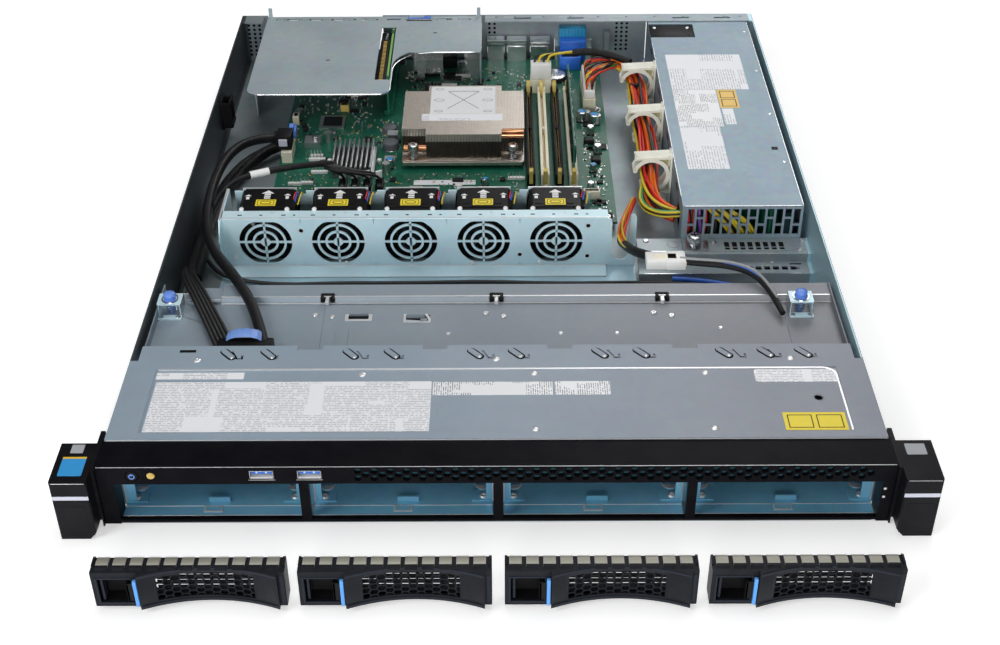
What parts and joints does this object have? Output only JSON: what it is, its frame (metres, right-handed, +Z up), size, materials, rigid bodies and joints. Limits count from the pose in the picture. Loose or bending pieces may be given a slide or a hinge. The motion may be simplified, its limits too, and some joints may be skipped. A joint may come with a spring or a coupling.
{
  "type": "1U rack server",
  "caption": "Flat rack-mounted computer with its lid off: drive bays and fillers, fans, system board, power supply and riser cage in a folded steel tray.",
  "frame": {"origin": "on the underside, in the middle of the width, at the plane of the bezel's front face", "axes": "X to the right seen from the front, +Y to the rear, +Z up"},
  "size_m": [0.4826, 0.644, 0.0504],
  "materials": {
    "zinc_steel": "satin galvanised sheet",
    "blue_grey_steel": "satin blue-grey sheet",
    "black_plastic": "satin black",
    "green_board": "green solder mask",
    "bronze_fins": "warm plated fins",
    "fin_aluminium": "plain aluminium",
    "screw_steel": "bright plated steel",
    "cream_plastic": "cream nylon",
    "gold_plastic": "yellow plastic",
    "blue_plastic": "touch-point blue",
    "amber_plastic": "amber lens",
    "cable_jacket": "black jacket"
  },
  "bodies": {
    "chassis": {"base_pan": "zinc_steel", "rear_panel": "zinc_steel", "front_cover": "zinc_steel", "bezel": "black_plastic", "ear_left": "black_plastic", "ear_right": "black_plastic", "operator_panel": "green_board", "drive_deck": "zinc_steel", "bay_dividers": "zinc_steel", "backplane": "green_board", "plunger_brackets": "zinc_steel", "fan_cage": "zinc_steel", "fan_frames": "black_plastic", "motherboard": "green_board", "cpu_heatsink": "bronze_fins", "heatsink_screws": "screw_steel", "board_components": "fin_aluminium", "dimm_sockets": "cream_plastic", "memory_module": "green_board", "board_sockets": "cream_plastic", "rear_ports": "screw_steel", "psu_case": "blue_grey_steel", "psu_board": "green_board", "ac_inlet": "black_plastic", "psu_bracket": "zinc_steel", "cable_clips": "cream_plastic", "front_cables": "cable_jacket", "drive_data_cable": "cable_jacket", "power_harness": "cable_jacket", "panel_cable": "cable_jacket"},
    "filler_1": {"filler_1": "black_plastic"},
    "filler_2": {"filler_2": "black_plastic"},
    "filler_3": {"filler_3": "black_plastic"},
    "filler_4": {"filler_4": "black_plastic"},
    "filler_latch_1": {"filler_latch_1": "blue_plastic"},
    "filler_latch_2": {"filler_latch_2": "blue_plastic"},
    "filler_latch_3": {"filler_latch_3": "blue_plastic"},
    "filler_latch_4": {"filler_latch_4": "blue_plastic"},
    "fan_rotor_1": {"fan_rotor_1": "black_plastic"},
    "fan_rotor_2": {"fan_rotor_2": "black_plastic"},
    "fan_rotor_3": {"fan_rotor_3": "black_plastic"},
    "fan_rotor_4": {"fan_rotor_4": "black_plastic"},
    "fan_rotor_5": {"fan_rotor_5": "black_plastic"},
    "dimm_latch_front_1": {"dimm_latch_front_1": "gold_plastic"},
    "dimm_latch_rear_1": {"dimm_latch_rear_1": "gold_plastic"},
    "dimm_latch_front_2": {"dimm_latch_front_2": "gold_plastic"},
    "dimm_latch_rear_2": {"dimm_latch_rear_2": "gold_plastic"},
    "dimm_latch_front_3": {"dimm_latch_front_3": "gold_plastic"},
    "dimm_latch_rear_3": {"dimm_latch_rear_3": "gold_plastic"},
    "dimm_latch_front_4": {"dimm_latch_front_4": "gold_plastic"},
    "dimm_latch_rear_4": {"dimm_latch_rear_4": "gold_plastic"},
    "power_button": {"power_button": "blue_plastic"},
    "locator_button": {"locator_button": "amber_plastic"},
    "plunger_left": {"plunger_left": "blue_plastic"},
    "plunger_right": {"plunger_right": "blue_plastic"},
    "rack_latch_left": {"rack_latch_left": "black_plastic"},
    "rack_latch_right": {"rack_latch_right": "black_plastic"},
    "psu_thumbscrew": {"psu_thumbscrew": "screw_steel"},
    "riser": {"riser_cage": "blue_grey_steel", "riser_card": "green_board"}
  },
  "joints": [
    {"name": "filler_1_slide", "type": "slide", "parent": "chassis", "child": "filler_1", "axis": [0, 1, 0], "range_m": [0, 0.068]},
    {"name": "filler_2_slide", "type": "slide", "parent": "chassis", "child": "filler_2", "axis": [0, 1, 0], "range_m": [0, 0.068]},
    {"name": "filler_3_slide", "type": "slide", "parent": "chassis", "child": "filler_3", "axis": [0, 1, 0], "range_m": [0, 0.068]},
    {"name": "filler_4_slide", "type": "slide", "parent": "chassis", "child": "filler_4", "axis": [0, 1, 0], "range_m": [0, 0.068]},
    {"name": "filler_latch_1_press", "type": "slide", "parent": "filler_1", "child": "filler_latch_1", "axis": [-1, 0, 0], "range_m": [0, 0.003], "stiffness_N_per_m": 300},
    {"name": "filler_latch_2_press", "type": "slide", "parent": "filler_2", "child": "filler_latch_2", "axis": [-1, 0, 0], "range_m": [0, 0.003], "stiffness_N_per_m": 300},
    {"name": "filler_latch_3_press", "type": "slide", "parent": "filler_3", "child": "filler_latch_3", "axis": [-1, 0, 0], "range_m": [0, 0.003], "stiffness_N_per_m": 300},
    {"name": "filler_latch_4_press", "type": "slide", "parent": "filler_4", "child": "filler_latch_4", "axis": [-1, 0, 0], "range_m": [0, 0.003], "stiffness_N_per_m": 300},
    {"name": "fan_1_spin", "type": "hinge", "parent": "chassis", "child": "fan_rotor_1", "pos_m": [-0.1596, 0.2644, 0.0215], "axis": [0, 1, 0], "continuous": true},
    {"name": "fan_2_spin", "type": "hinge", "parent": "chassis", "child": "fan_rotor_2", "pos_m": [-0.1094, 0.2644, 0.0215], "axis": [0, 1, 0], "continuous": true},
    {"name": "fan_3_spin", "type": "hinge", "parent": "chassis", "child": "fan_rotor_3", "pos_m": [-0.0592, 0.2644, 0.0215], "axis": [0, 1, 0], "continuous": true},
    {"name": "fan_4_spin", "type": "hinge", "parent": "chassis", "child": "fan_rotor_4", "pos_m": [-0.009, 0.2644, 0.0215], "axis": [0, 1, 0], "continuous": true},
    {"name": "fan_5_spin", "type": "hinge", "parent": "chassis", "child": "fan_rotor_5", "pos_m": [0.0412, 0.2644, 0.0215], "axis": [0, 1, 0], "continuous": true},
    {"name": "dimm_latch_front_1_tilt", "type": "hinge", "parent": "chassis", "child": "dimm_latch_front_1", "pos_m": [0.0257, 0.35, 0.0125], "axis": [1, 0, 0], "range_deg": [0, 28]},
    {"name": "dimm_latch_rear_1_tilt", "type": "hinge", "parent": "chassis", "child": "dimm_latch_rear_1", "pos_m": [0.0257, 0.488, 0.0125], "axis": [-1, 0, 0], "range_deg": [0, 28]},
    {"name": "dimm_latch_front_2_tilt", "type": "hinge", "parent": "chassis", "child": "dimm_latch_front_2", "pos_m": [0.0363, 0.35, 0.0125], "axis": [1, 0, 0], "range_deg": [0, 28]},
    {"name": "dimm_latch_rear_2_tilt", "type": "hinge", "parent": "chassis", "child": "dimm_latch_rear_2", "pos_m": [0.0363, 0.488, 0.0125], "axis": [-1, 0, 0], "range_deg": [0, 28]},
    {"name": "dimm_latch_front_3_tilt", "type": "hinge", "parent": "chassis", "child": "dimm_latch_front_3", "pos_m": [0.0469, 0.35, 0.0125], "axis": [1, 0, 0], "range_deg": [0, 28]},
    {"name": "dimm_latch_rear_3_tilt", "type": "hinge", "parent": "chassis", "child": "dimm_latch_rear_3", "pos_m": [0.0469, 0.488, 0.0125], "axis": [-1, 0, 0], "range_deg": [0, 28]},
    {"name": "dimm_latch_front_4_tilt", "type": "hinge", "parent": "chassis", "child": "dimm_latch_front_4", "pos_m": [0.0575, 0.35, 0.0125], "axis": [1, 0, 0], "range_deg": [0, 28]},
    {"name": "dimm_latch_rear_4_tilt", "type": "hinge", "parent": "chassis", "child": "dimm_latch_rear_4", "pos_m": [0.0575, 0.488, 0.0125], "axis": [-1, 0, 0], "range_deg": [0, 28]},
    {"name": "power_button_press", "type": "slide", "parent": "chassis", "child": "power_button", "axis": [0, 1, 0], "range_m": [0, 0.0006], "stiffness_N_per_m": 800},
    {"name": "locator_button_press", "type": "slide", "parent": "chassis", "child": "locator_button", "axis": [0, 1, 0], "range_m": [0, 0.0006], "stiffness_N_per_m": 800},
    {"name": "plunger_left_pull", "type": "slide", "parent": "chassis", "child": "plunger_left", "axis": [0, 0, 1], "range_m": [0, 0.004], "stiffness_N_per_m": 500},
    {"name": "plunger_right_pull", "type": "slide", "parent": "chassis", "child": "plunger_right", "axis": [0, 0, 1], "range_m": [0, 0.004], "stiffness_N_per_m": 500},
    {"name": "rack_latch_left_press", "type": "slide", "parent": "chassis", "child": "rack_latch_left", "axis": [1, 0, 0], "range_m": [0, 0.0025], "stiffness_N_per_m": 600},
    {"name": "rack_latch_right_press", "type": "slide", "parent": "chassis", "child": "rack_latch_right", "axis": [-1, 0, 0], "range_m": [0, 0.0025], "stiffness_N_per_m": 600},
    {"name": "psu_thumbscrew_turn", "type": "hinge", "parent": "chassis", "child": "psu_thumbscrew", "pos_m": [0.137, 0.257, 0.016], "axis": [0, 0, 1], "continuous": true},
    {"name": "riser_lift", "type": "slide", "parent": "chassis", "child": "riser", "axis": [0, 0, 1], "range_m": [0, 0.06]}
  ]
}
